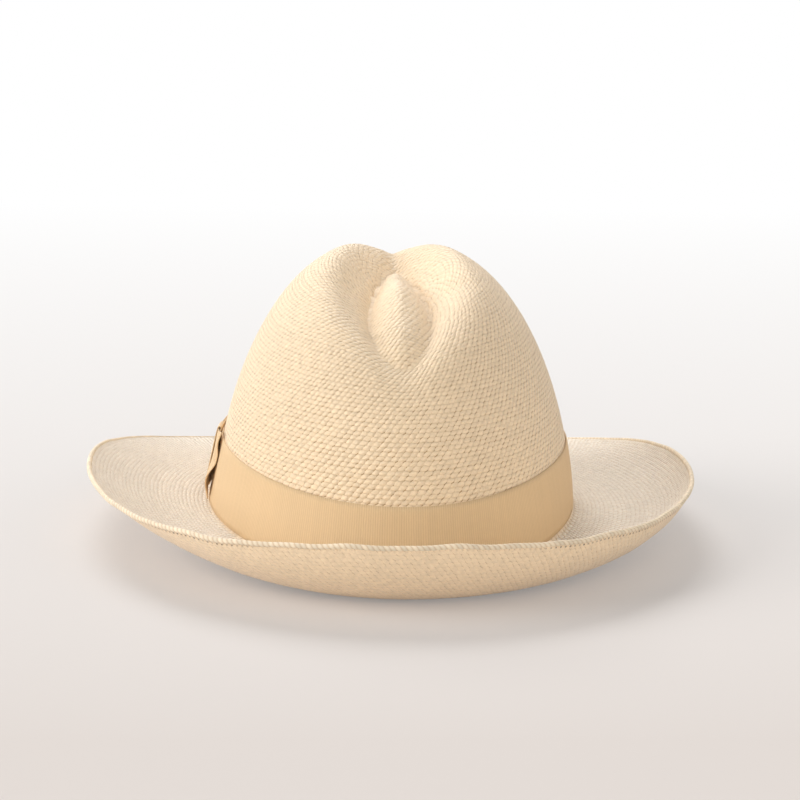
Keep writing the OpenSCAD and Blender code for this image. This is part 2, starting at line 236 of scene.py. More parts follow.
def teardrop(x, y, back, front, middle, half, to_front, to_back):
    """How far a point lies from a teardrop's middle, across it and along it: length 1 on its outline."""
    ahead = y > middle
    v = np.where(ahead, (y - middle) / (front - middle), (middle - y) / (middle - back))
    narrow = 1 - np.where(ahead, to_front, to_back) * np.minimum(v, 1)
    return x / (half * narrow), v


def leaf(u, v):
    """Height of the leaf with its ridge along the middle, less the crease round it."""
    far = np.hypot(u, v)
    along = np.maximum(1 - v * v, 0.001)
    ridge = np.where(far < 1, along * (1 - np.minimum(u * u / along, 1) ** 0.75), 0)
    crease = np.clip(1 - np.abs(far - 1) * LEAF["half"] / LEAF_CREASE_WIDTH, 0, 1) ** 1.5
    return LEAF_HEIGHT * ridge - LEAF_CREASE * crease


def fold(x, y):
    """Depth of the short fold that runs on from the leaf's front end."""
    start = np.clip((y - LEAF["front"] + FOLD_OVER_LEAF) / FOLD_START, 0, 1)
    end = np.clip((DENT["front"] - y) / FOLD_END, 0, 1)
    return FOLD_DEPTH * start * end * np.clip(1 - np.abs(x) / FOLD_HALF_WIDTH, 0, 1) ** 1.5


def blocked(p):
    """The dome with its dent, the leaf in the dent and the two front pinches."""
    x = p[..., 0]
    y = p[..., 1]
    far = np.hypot(*teardrop(x, y, **DENT))[..., None] + RIM_ROUNDING
    wall_share = np.clip((1 - far) / DENT_WALL, 0, 1)
    sunk = np.mean(wall_share ** 2 * (3 - 2 * wall_share), -1)
    z = p[..., 2] - DENT_DEPTH * sunk + leaf(*teardrop(x, y, **LEAF)) - fold(x, y)
    g = np.exp(-((y - PINCH_FRONT) / PINCH_LENGTH) ** 2 - ((z - PINCH_HEIGHT) / PINCH_REACH) ** 2)
    return np.stack([x - x / np.hypot(x, PINCH_BLEND) * PINCH_DEPTH * g, y, z], -1)


def dome_share(a):
    """The dome's h for an angle that runs from 0 at the break to a quarter turn at the top."""
    return (1 - np.cos(a) ** DOME_SHOULDER) ** (1 / DOME_WALL)


def crown(f, a):
    """A point on the crown, a being the angle of dome_share."""
    return blocked(dome(f, dome_share(a)))


def crown_normal(f, a):
    """The direction straight out of the crown."""
    step = 0.004
    high = np.minimum(a + step, math.pi / 2)
    along = crown(f + step, a) - crown(f - step, a)
    up = crown(f, high) - crown(f, a - step)
    n = np.cross(along, up)
    return n / np.maximum(np.linalg.norm(n, axis=-1, keepdims=True), 1e-9)


def wall_h(f, up):
    """The dome's h at a height over the break, found in a few rounds."""
    h = 0 * f + 0 * up
    for _ in range(4):
        y = HALF_LENGTH * girth(h) * np.sin(f) + DOME_LEAN * h
        h = up / (DOME_HEIGHT - around(f, BREAK_Z) + DOME_RISE * y)
    return h


def wall(f, up, off=0.0):
    """A point on the crown's wall at a height over the break, moved out by an offset."""
    f, up, off = np.broadcast_arrays(*(np.asarray(v, float) for v in (f, up, off)))
    level = np.maximum(up, 0)
    p = dome(f, wall_h(f, level))
    d = dome(f, wall_h(f, level + 1)) - p
    o = outward(f)
    r = (d * o).sum(-1)
    n = o * d[..., 2:3]
    n[..., 2] -= r
    p = p + n / np.hypot(r, d[..., 2])[..., None] * off[..., None]
    p[..., 2] += np.minimum(up, 0)
    return p


def signed_power(x, e):
    """A power that keeps the value's sign."""
    return np.sign(x) * np.abs(x) ** e


def even_angles(start, end, count):
    """Angles at equal distances along the oval, both ends included."""
    f = np.linspace(start, end, 4000)
    step = np.hypot(np.diff(HALF_WIDTH * np.cos(f)), np.diff(HALF_LENGTH * np.sin(f)))
    run = np.concatenate([[0], np.cumsum(step)])
    return np.interp(np.linspace(0, run[-1], count), run, f)


OVAL_STEPS = 2001
OVAL_ANGLES = even_angles(0, TURN, OVAL_STEPS)


def oval_angle(share):
    """The angle at a share of the way round the oval."""
    return np.interp(share % 1, np.linspace(0, 1, OVAL_STEPS), OVAL_ANGLES)


# Building meshes

def new_piece(name, points, faces, material, uv_maps, nodes=()):
    """A smooth mesh in metres in the part's frame, riding on the hat's one body."""
    mesh = bpy.data.meshes.new(name)
    mesh.from_pydata(((np.asarray(points) - ORIGIN) / 1000).tolist(), [], faces)
    for label, uv in uv_maps.items():
        layer = mesh.uv_layers.new(name=label)
        layer.uv.foreach_set("vector", np.asarray(uv, np.float32).ravel())
    mesh.polygons.foreach_set("use_smooth", np.ones(len(mesh.polygons), bool))
    mesh.materials.append(material)
    mesh.update()
    piece = bpy.data.objects.new(name, mesh)
    bpy.context.scene.collection.objects.link(piece)
    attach(piece, "root")
    if nodes:
        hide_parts(*nodes)
    return piece


def grid_faces(rows, columns, closed_rows, closed_columns, first=0):
    """Quads of a grid of points, with the grid places of their corners for the maps."""
    down = np.arange(rows - (not closed_rows))
    over = np.arange(columns - (not closed_columns))
    i, j = np.meshgrid(down, over, indexing="ij")
    corner_i = np.stack([i, i + 1, i + 1, i], -1).reshape(-1, 4)
    corner_j = np.stack([j, j, j + 1, j + 1], -1).reshape(-1, 4)
    faces = first + corner_i % rows * columns + corner_j % columns
    return faces, corner_i, corner_j


def strip_piece(name, outer, inner, closed, u, v, material, nodes):
    """A thick ribbon: two grids of points, along by across, joined at their edges.
    u and v are the map's values along and across."""
    n, m = outer.shape[:2]
    points = np.concatenate([outer, inner[:, ::-1]], 1)
    faces, ci, cj = grid_faces(n, 2 * m, closed, True)
    u_all = np.append(u, 2 * u[-1] - u[-2]) if closed else u
    v_all = np.concatenate([v, v[::-1], v[:1]])
    uv = np.stack([u_all[ci], v_all[cj]], -1).reshape(-1, 2)
    faces = faces.tolist()
    if not closed:
        ends = []
        for row, turned in ((0, False), (n - 1, True)):
            for k in range(m - 1):
                a = row * 2 * m + k
                b = row * 2 * m + 2 * m - 1 - k
                quad = [a, a + 1, b - 1, b]
                ends.append(quad[::-1] if turned else quad)
                corner_uv = np.stack([np.full(4, u[row]), v[[k, k + 1, k + 1, k]]], -1)
                uv = np.concatenate([uv, corner_uv])
        faces = faces + ends
    return new_piece(name, points.reshape(-1, 3), faces, material, {"cloth": uv}, nodes)


def tube_piece(name, rings, u, v, material, nodes):
    """Closed rings of points joined in order, each tube capped at both ends.
    rings is tubes by rings by sides."""
    tubes, n, m = rings.shape[:3]
    faces, ci, cj = grid_faces(n, m, False, True)
    uv = np.stack([u[ci], v[cj]], -1).reshape(-1, 2)
    all_faces = []
    all_uv = []
    for t in range(tubes):
        base = t * n * m
        all_faces += (faces + base).tolist()
        all_faces += [[base + k for k in range(m)], [base + n * m - 1 - k for k in range(m)]]
        all_uv += [uv, np.tile([u[0], v[0]], (m, 1)), np.tile([u[-1], v[0]], (m, 1))]
    maps = {"cloth": np.concatenate(all_uv)}
    return new_piece(name, rings.reshape(-1, 3), all_faces, material, maps, nodes)


# Shader nodes

def put(socket, value):
    """Links an output to a socket, or sets the socket's own value."""
    if isinstance(value, bpy.types.NodeSocket):
        socket.id_data.links.new(value, socket)
    else:
        socket.default_value = value


def add_node(tree, kind, inputs=None, **settings):
    """A node of a kind with its inputs and settings."""
    made = tree.nodes.new("ShaderNode" + kind)
    for name, value in settings.items():
        setattr(made, name, value)
    for name, value in (inputs or {}).items():
        put(made.inputs[name], value)
    return made


def calc(tree, operation, *values):
    """The result of a sum on values or outputs."""
    made = tree.nodes.new("ShaderNodeMath")
    made.operation = operation
    for socket, value in zip(made.inputs, values):
        put(socket, value)
    return made.outputs[0]


def smooth_step(tree, value, low, high, to_low=0.0, to_high=1.0):
    """A soft change from to_low to to_high while the value goes from low to high."""
    ends = {"Value": value, "From Min": low, "From Max": high, "To Min": to_low, "To Max": to_high}
    return add_node(tree, "MapRange", ends, interpolation_type="SMOOTHSTEP").outputs[0]


def mixed(tree, factor, a, b, mode="MIX"):
    """Colour a going over to colour b."""
    made = tree.nodes.new("ShaderNodeMix")
    made.data_type = "RGBA"
    made.blend_type = mode
    put(made.inputs[0], factor)
    put(made.inputs[6], a)
    put(made.inputs[7], b)
    return made.outputs[2]


def new_group(name, inputs, outputs):
    """An empty shader group with its named sockets: its tree, its input node and its output node."""
    tree = bpy.data.node_groups.new(name, "ShaderNodeTree")
    for label, kind, value in inputs:
        socket = tree.interface.new_socket(label, in_out="INPUT", socket_type="NodeSocket" + kind)
        socket.default_value = value
    for label, kind in outputs:
        tree.interface.new_socket(label, in_out="OUTPUT", socket_type="NodeSocket" + kind)
    return tree, tree.nodes.new("NodeGroupInput"), tree.nodes.new("NodeGroupOutput")


def use_group(tree, group, inputs):
    """A group placed in a tree with its inputs."""
    made = tree.nodes.new("ShaderNodeGroup")
    made.node_tree = group
    for name, value in inputs.items():
        put(made.inputs[name], value)
    return made


def ripple(tree, value, sharpness):
    """A row of rounded ridges, one to each whole number: 0 in the grooves and 1 on the ridges."""
    wave = calc(tree, "ABSOLUTE", calc(tree, "SINE", calc(tree, "MULTIPLY", value, math.pi)))
    return calc(tree, "POWER", wave, sharpness)


def chance_of(tree, value):
    """A random value from 0 to 1 for each whole number."""
    number = calc(tree, "FLOOR", value)
    return add_node(tree, "TexWhiteNoise", {"W": number}, noise_dimensions="1D").outputs["Value"]


def nearest_grains(tree, right, high):
    """Distances in a lattice of leaning grains, one to each straw: squared from the nearest grain's
    middle, and how much farther the second nearest is, which is 0 in the grooves."""
    lean = math.radians(GRAIN_LEAN)
    along = np.array([math.cos(lean), math.sin(lean)]) / GRAIN_HALF_LENGTH
    across = np.array([-math.sin(lean), math.cos(lean)]) / GRAIN_HALF_WIDTH
    measure = np.outer(along, along) + np.outer(across, across)

    def line(a, b, c):
        return calc(tree, "MULTIPLY_ADD", right, a, calc(tree, "MULTIPLY_ADD", high, b, c))

    own = calc(tree, "ADD", calc(tree, "POWER", line(*along, 0.0), 2.0),
               calc(tree, "POWER", line(*across, 0.0), 2.0))
    first = 0.0
    second = 99.0
    half = STRAW_LENGTH / 2
    for x, y in ((2 * half, 0), (-2 * half, 0), (half, ROW_HEIGHT), (-half, -ROW_HEIGHT),
                 (-half, ROW_HEIGHT), (half, -ROW_HEIGHT)):
        pull = measure @ (x, y)
        other = line(-2 * pull[0], -2 * pull[1], float(pull @ (x, y)))
        second = calc(tree, "MINIMUM", second, calc(tree, "MAXIMUM", first, other))
        first = calc(tree, "MINIMUM", first, other)
    return calc(tree, "ADD", own, first), calc(tree, "SUBTRACT", second, first)


def make_tone_drift():
    """Slow changes of tone over a surface and faint specks, as in dyed or bleached fibre."""
    tree, given, result = new_group(
        "tone_drift",
        [("Vector", "Vector", (0, 0, 0)), ("Color", "Color", (1, 1, 1, 1)), ("Patch Size", "Float", 30.0),
         ("Amount", "Float", 0.05), ("Speck", "Float", 0.03)],
        [("Color", "Color"), ("Roughness", "Float")])
    place = given.outputs["Vector"]
    size = given.outputs["Patch Size"]
    patches = add_node(tree, "TexNoise", {"Vector": place, "Scale": size, "Detail": 2.0}).outputs["Fac"]
    specks = add_node(tree, "TexNoise", {"Vector": place, "Scale": 900.0, "Detail": 1.0}).outputs["Fac"]
    slow = calc(tree, "MULTIPLY", calc(tree, "SUBTRACT", patches, 0.5), given.outputs["Amount"])
    fast = calc(tree, "MULTIPLY", calc(tree, "SUBTRACT", specks, 0.5), given.outputs["Speck"])
    tone = calc(tree, "ADD", calc(tree, "ADD", slow, fast), 1.0)
    put(result.inputs["Color"], mixed(tree, 1.0, given.outputs["Color"], tone, "MULTIPLY"))
    put(result.inputs["Roughness"], calc(tree, "ADD", calc(tree, "MULTIPLY", patches, 0.16), 0.56))
    return tree


def make_cross_weave():
    """Cloth of ribs with fine threads over them, with painted shade in the grooves. Along and Across
    count ribs and threads.
    """
    tree, given, result = new_group(
        "cross_weave",
        [("Along", "Float", 0.0), ("Across", "Float", 0.0), ("Light", "Color", (1, 1, 1, 1)),
         ("Groove Shade", "Color", (0.5, 0.5, 0.5, 1)), ("Thread Depth", "Float", 0.2)],
        [("Color", "Color"), ("Height", "Float")])
    along = given.outputs["Along"]
    shift = calc(tree, "MULTIPLY", calc(tree, "FLOOR", along), 0.5)
    ribs = ripple(tree, along, 0.7)
    threads = ripple(tree, calc(tree, "ADD", given.outputs["Across"], shift), 0.7)
    depth = given.outputs["Thread Depth"]
    fine = calc(tree, "ADD", calc(tree, "MULTIPLY", threads, depth), calc(tree, "SUBTRACT", 1.0, depth))
    height = calc(tree, "MULTIPLY", ribs, fine)
    tone = calc(tree, "ADD", calc(tree, "MULTIPLY", chance_of(tree, along), 0.03), 0.985)
    colour = mixed(tree, height, given.outputs["Groove Shade"], given.outputs["Light"])
    put(result.inputs["Color"], mixed(tree, 1.0, colour, tone, "MULTIPLY"))
    put(result.inputs["Height"], height)
    return tree


tone_drift = make_tone_drift()
cross_weave = make_cross_weave()


def new_material(name, specular, sheen=0.0):
    """An empty material: returns it, its tree and its shader."""
    made = bpy.data.materials.new(name)
    made.use_nodes = True
    tree = made.node_tree
    shader = tree.nodes["Principled BSDF"]
    shader.inputs["Specular IOR Level"].default_value = specular
    shader.inputs["Sheen Weight"].default_value = sheen
    shader.inputs["Sheen Roughness"].default_value = 0.5
    return made, tree, shader


def finish_surface(tree, shader, colour, height, patch_size, amount, speck, depth_mm):
    """Tone, roughness and bump that every finish of the hat has."""
    place = add_node(tree, "TexCoord").outputs["Object"]
    drift = use_group(tree, tone_drift, {"Vector": place, "Color": colour, "Patch Size": patch_size,
                                         "Amount": amount, "Speck": speck})
    put(shader.inputs["Base Color"], drift.outputs["Color"])
    put(shader.inputs["Roughness"], drift.outputs["Roughness"])
    bump = add_node(tree, "Bump", {"Height": height, "Strength": 1.0, "Distance": depth_mm / 1000})
    put(shader.inputs["Normal"], bump.outputs["Normal"])


def noise_parts(tree, place, scale):
    """Three smooth random values that change over a surface, each around 0."""
    made = add_node(tree, "TexNoise", {"Vector": place, "Scale": scale, "Detail": 1.0})
    sides = {0: made.outputs["Color"], 1: (0.5, 0.5, 0.5)}
    centred = add_node(tree, "VectorMath", sides, operation="SUBTRACT")
    return add_node(tree, "SeparateXYZ", {"Vector": centred.outputs[0]}).outputs


def map_values(tree, label):
    """The two values of a mesh's map."""
    at = add_node(tree, "UVMap", uv_map=label).outputs["UV"]
    apart = add_node(tree, "SeparateXYZ", {"Vector": at})
    return apart.outputs["X"], apart.outputs["Y"]


# Colours of the finishes; the pale straw is painted sheen, and the groove, gap, pin, hole and crease
# colours are painted shade
STRAW_LIGHT = (0.96, 0.76, 0.525, 1)
STRAW_PAINTED_SHEEN = (1.0, 0.9, 0.77, 1)
STRAW_GAP_SHADE = (0.72, 0.50, 0.27, 1)
STRAW_ROPE = (0.98, 0.84, 0.645, 1)
STRAW_ROPE_GROOVE_SHADE = (0.76, 0.56, 0.35, 1)
STRAW_PIN_SHADE = (0.45, 0.25, 0.08, 1)
STRAW_HOLE_SHADE = (0.25, 0.15, 0.07, 1)
RIBBON_LIGHT = (0.785, 0.575, 0.34, 1)
RIBBON_GROOVE_SHADE = (0.67, 0.465, 0.26, 1)
COTTON_LIGHT = (0.80, 0.73, 0.58, 1)
COTTON_GROOVE_SHADE = (0.52, 0.45, 0.32, 1)
SATIN_LIGHT = (0.13, 0.055, 0.022, 1)
SATIN_GROOVE_SHADE = (0.085, 0.033, 0.012, 1)
LEATHER_TAN = (0.36, 0.18, 0.072, 1)
LEATHER_BROWN = (0.25, 0.115, 0.042, 1)
LEATHER_CREASE_SHADE = (0.19, 0.085, 0.03, 1)
THREAD_LIGHT = (0.86, 0.79, 0.64, 1)
THREAD_GROOVE_SHADE = (0.55, 0.47, 0.33, 1)
REED_LIGHT = (0.72, 0.63, 0.47, 1)
REED_DARK = (0.55, 0.46, 0.32, 1)
FLOOR_PALE = (0.69, 0.645, 0.62, 1)
WHITE = (1, 1, 1, 1)
WARM = (1, 0.965, 0.92)


def straw_cell(tree, u, v):
    """Where a point lies from the middle of its straw's cell, along the row and across it, in
    millimetres. Rows are shifted by half a straw, so the cells slant."""
    slant = calc(tree, "MULTIPLY_ADD", v, 0.5, u)
    row_off = calc(tree, "SUBTRACT", calc(tree, "FRACT", v), 0.5)
    end_off = calc(tree, "SUBTRACT", calc(tree, "FRACT", slant), 0.5)
    right = calc(tree, "MULTIPLY", calc(tree, "MULTIPLY_ADD", row_off, -0.5, end_off), STRAW_LENGTH)
    return right, calc(tree, "MULTIPLY", row_off, -ROW_HEIGHT)


def straw_fibres(tree, u, v):
    """Streaks along each leaning straw."""
    lean = math.radians(GRAIN_LEAN)
    along = calc(tree, "MULTIPLY_ADD", u, STRAW_LENGTH * math.cos(lean) * FIBRES_ALONG,
                 calc(tree, "MULTIPLY", v, -ROW_HEIGHT * math.sin(lean) * FIBRES_ALONG))
    across = calc(tree, "MULTIPLY_ADD", u, STRAW_LENGTH * math.sin(lean) * FIBRES_ACROSS,
                  calc(tree, "MULTIPLY", v, ROW_HEIGHT * math.cos(lean) * FIBRES_ACROSS))
    strand = add_node(tree, "CombineXYZ", {"X": along, "Y": across}).outputs["Vector"]
    return noise_parts(tree, strand, 1.0)["X"]


def edge_holes(tree, place, edge_u, edge_v):
    """Small holes behind the rope edge, on the underside, more open at the hat's sides: where their depth
    and their painted shade go.
    """
    hole_u = calc(tree, "SUBTRACT", calc(tree, "FRACT", edge_u), 0.5)
    hole_v = calc(tree, "MULTIPLY", calc(tree, "SUBTRACT", edge_v, HOLE_PLACE), 0.5)
    far = calc(tree, "SQRT", calc(tree, "ADD", calc(tree, "MULTIPLY", hole_u, hole_u),
                                  calc(tree, "MULTIPLY", hole_v, hole_v)))
    sideways = calc(tree, "ABSOLUTE", add_node(tree, "SeparateXYZ", {"Vector": place}).outputs["X"])
    sideways = calc(tree, "MULTIPLY_ADD", noise_parts(tree, place, 16.0)["X"], 0.05, sideways)
    open_part = smooth_step(tree, sideways, 0.055, 0.08, 0.15, 1.0)
    chance = calc(tree, "MULTIPLY_ADD", chance_of(tree, edge_u), 0.6, 0.4)
    return calc(tree, "MULTIPLY", smooth_step(tree, far, 0.08, 0.3, 1.0, 0.0),
                calc(tree, "MULTIPLY", open_part, chance))


def make_woven_straw():
    """Straws as leaning grains in staggered rows, with painted sheen on the brim's top and painted shade
    in the gaps.
    """
    made, tree, shader = new_material("woven_straw", specular=0.4, sheen=0.3)
    u, v = map_values(tree, "weave")
    edge_u, edge_v = map_values(tree, "edge")
    place = add_node(tree, "TexCoord").outputs["Object"]
    on_brim = smooth_step(tree, edge_v, -BRIM_WIDTH - 2, -BRIM_WIDTH + 4)
    under = smooth_step(tree, edge_v, -1.0, 1.0)
    on_top = calc(tree, "SUBTRACT", on_brim, under)
    # How plainly the weave shows: less at the crown's top and on the brim, least under it
    plain = calc(tree, "MULTIPLY", smooth_step(tree, v, 6.0, 30.0, 0.65, 1.0), calc(
        tree, "MULTIPLY_ADD", on_top, -0.25, calc(tree, "MULTIPLY_ADD", under, -0.55, 1.0)))
    # Straws that wander a little from their rows
    wander = noise_parts(tree, place, 190.0)
    waver = noise_parts(tree, place, 600.0)
    u = calc(tree, "MULTIPLY_ADD", wander["X"], 0.5, calc(tree, "MULTIPLY_ADD", waver["X"], 0.2, u))
    v = calc(tree, "MULTIPLY_ADD", wander["Y"], 0.4, calc(tree, "MULTIPLY_ADD", waver["Y"], 0.2, v))
    right, high = straw_cell(tree, u, v)
    far, groove = nearest_grains(tree, right, high)
    fibre = straw_fibres(tree, u, v)
    uneven = noise_parts(tree, place, 430.0)
    # Plump grains of uneven height, with a furrow to every second row of the crown
    pillow = calc(tree, "MULTIPLY", smooth_step(tree, groove, 0.0, 0.6, 0.72, 1.0),
                  calc(tree, "MULTIPLY_ADD", far, -0.42, 1.0))
    height = calc(tree, "MULTIPLY", pillow, calc(tree, "MULTIPLY_ADD", uneven["X"], 1.2, 0.9))
    pair = calc(tree, "ABSOLUTE", calc(tree, "SINE", calc(tree, "MULTIPLY", v, math.pi / 2)))
    furrow = calc(tree, "MULTIPLY", smooth_step(tree, pair, 0.0, 0.55, 1.0, 0.0),
                  calc(tree, "SUBTRACT", 1.0, on_brim))
    height = calc(tree, "MULTIPLY", calc(tree, "MULTIPLY_ADD", furrow, -0.13, calc(
        tree, "MULTIPLY_ADD", fibre, 0.25, height)), plain)
    # On the brim's top the straws' ends part more than the rows do, with painted shade where they part
    end_gap = calc(tree, "MULTIPLY", on_top, smooth_step(
        tree, calc(tree, "ABSOLUTE", right), 0.7, 1.5, 0.0, 0.5))
    height = calc(tree, "SUBTRACT", height, end_gap)
    # Painted shade in the grooves and furrows and in a pin gap here and there, and streaks of tone
    gap = calc(tree, "MULTIPLY_ADD", furrow, 0.06, smooth_step(tree, groove, 0.0, 0.7, 0.54, 0.0))
    gap = calc(tree, "MULTIPLY_ADD", gap, plain, calc(tree, "MULTIPLY", end_gap, 0.55))
    pin = calc(tree, "MULTIPLY", smooth_step(tree, far, 1.5, 2.1),
               smooth_step(tree, uneven["Y"], -0.12, 0.1, 0.0, 0.9))
    # The brim's top is painted paler: painted sheen
    colour = mixed(tree, gap, mixed(tree, on_top, STRAW_LIGHT, STRAW_PAINTED_SHEEN), STRAW_GAP_SHADE)
    colour = mixed(tree, calc(tree, "MULTIPLY", pin, plain), colour, STRAW_PIN_SHADE)
    tone = calc(tree, "MULTIPLY_ADD", uneven["Z"], 0.25, calc(tree, "MULTIPLY_ADD", fibre, 0.3, 1.0))
    colour = mixed(tree, 1.0, colour, tone, "MULTIPLY")
    # Painted shade in the holes behind the rope edge
    hole = edge_holes(tree, place, edge_u, edge_v)
    colour = mixed(tree, hole, colour, STRAW_HOLE_SHADE)
    height = calc(tree, "SUBTRACT", height, hole)
    finish_surface(tree, shader, colour, height, patch_size=35.0, amount=0.08, speck=0.10, depth_mm=0.6)
    return made


def make_straw_rope():
    """The twisted edge, its strands of uneven tone, with painted shade between the strands."""
    made, tree, shader = new_material("straw_rope", specular=0.3, sheen=0.08)
    u, v = map_values(tree, "cloth")
    turn = calc(tree, "ADD", u, calc(tree, "MULTIPLY", v, 2.0))
    strands = ripple(tree, turn, 0.6)
    colour = mixed(tree, strands, STRAW_ROPE_GROOVE_SHADE, STRAW_ROPE)
    tone = calc(tree, "ADD", calc(tree, "MULTIPLY", chance_of(tree, turn), 0.16), 0.84)
    colour = mixed(tree, 1.0, colour, tone, "MULTIPLY")
    finish_surface(tree, shader, colour, strands, patch_size=35.0, amount=0.08, speck=0.10, depth_mm=0.2)
    return made


def make_cloth(name, light, groove, threads, thread_depth, depth_mm, specular, sheen):
    """Ribbon and tape: the piece's map counts ribs along it and runs from 0 to 1 across it. The groove
    colour is painted shade.
    """
    made, tree, shader = new_material(name, specular, sheen)
    u, v = map_values(tree, "cloth")
    across = calc(tree, "MULTIPLY", v, threads)
    cloth = use_group(tree, cross_weave, {"Along": u, "Across": across, "Light": light,
                                          "Groove Shade": groove, "Thread Depth": thread_depth}).outputs
    finish_surface(tree, shader, cloth["Color"], cloth["Height"], patch_size=45.0, amount=0.06,
                   speck=0.05, depth_mm=depth_mm)
    return made


def make_leather():
    """Tanned leather with fine creases and scuffs, with painted shade in the creases."""
    made, tree, shader = new_material("sweat_leather", specular=0.35)
    place = add_node(tree, "TexCoord").outputs["Object"]
    pebbles = add_node(tree, "TexVoronoi", {"Vector": place, "Scale": 900.0}, feature="DISTANCE_TO_EDGE")
    creases = smooth_step(tree, pebbles.outputs["Distance"], 0.0, 0.16)
    scuffs = add_node(tree, "TexNoise", {"Vector": place, "Scale": 70.0, "Detail": 5.0}).outputs["Fac"]
    tan = mixed(tree, smooth_step(tree, scuffs, 0.35, 0.7), LEATHER_BROWN, LEATHER_TAN)
    colour = mixed(tree, creases, LEATHER_CREASE_SHADE, tan)
    finish_surface(tree, shader, colour, creases, patch_size=30.0, amount=0.2, speck=0.06, depth_mm=0.06)
    return made


def make_thread():
    """Twisted yarn: the piece's map counts the turns of the twist. Painted shade lies between the
    strands.
    """
    made, tree, shader = new_material("pale_thread", specular=0.3, sheen=0.1)
    u, v = map_values(tree, "cloth")
    strands = ripple(tree, calc(tree, "ADD", u, calc(tree, "MULTIPLY", v, 2.0)), 0.6)
    colour = mixed(tree, strands, THREAD_GROOVE_SHADE, THREAD_LIGHT)
    finish_surface(tree, shader, colour, strands, patch_size=60.0, amount=0.05, speck=0.04, depth_mm=0.06)
    return made


def make_reed():
    """A pale cord with a fine grain."""
    made, tree, shader = new_material("reed_cord", specular=0.4)
    place = add_node(tree, "TexCoord").outputs["Object"]
    grain = add_node(tree, "TexNoise", {"Vector": place, "Scale": 600.0, "Detail": 3.0}).outputs["Fac"]
    colour = mixed(tree, grain, REED_DARK, REED_LIGHT)
    finish_surface(tree, shader, colour, grain, patch_size=40.0, amount=0.06, speck=0.04, depth_mm=0.04)
    return made


straw = make_woven_straw()
rope = make_straw_rope()
grosgrain = make_cloth("grosgrain", RIBBON_LIGHT, RIBBON_GROOVE_SHADE, threads=60.0, thread_depth=0.15,
                       depth_mm=0.08, specular=0.25, sheen=0.1)
cotton = make_cloth("cotton_tape", COTTON_LIGHT, COTTON_GROOVE_SHADE, threads=30.0, thread_depth=0.6,
                    depth_mm=0.06, specular=0.2, sheen=0.1)
satin = make_cloth("satin", SATIN_LIGHT, SATIN_GROOVE_SHADE, threads=40.0, thread_depth=0.3,
                   depth_mm=0.03, specular=0.5, sheen=0.2)
leather = make_leather()
pale_thread = make_thread()
reed_finish = make_reed()


# Straw crown and brim, one woven piece

def crown_straws(rings):
    """Straws round each row of the crown, from the break up: some of them end where they would crowd."""
    counts = [CROWN_STRAWS]
    for length in rings[1:]:
        crowded = length / counts[-1] < CROWDED_STRAW
        counts.append(max(round(length / WIDENED_STRAW), FEWEST_STRAWS) if crowded else counts[-1])
    return counts


def brim_straws(rings):
    """Straws round each row of the brim, from the break out: more are added where they would gape."""
    counts = [CROWN_STRAWS]
    for length in rings[1:]:
        gaping = length / counts[-1] > GAPING_STRAW
        counts.append(round(length / ADDED_STRAW) if gaping else counts[-1])
    return counts


def ring_length(points):
    """The way round a closed ring of points."""
    return np.linalg.norm(points - np.roll(points, 1, 0), axis=-1).sum()


# Room for the last face of a ring, which reaches past one whole turn
MAP_ROOM = 1.13


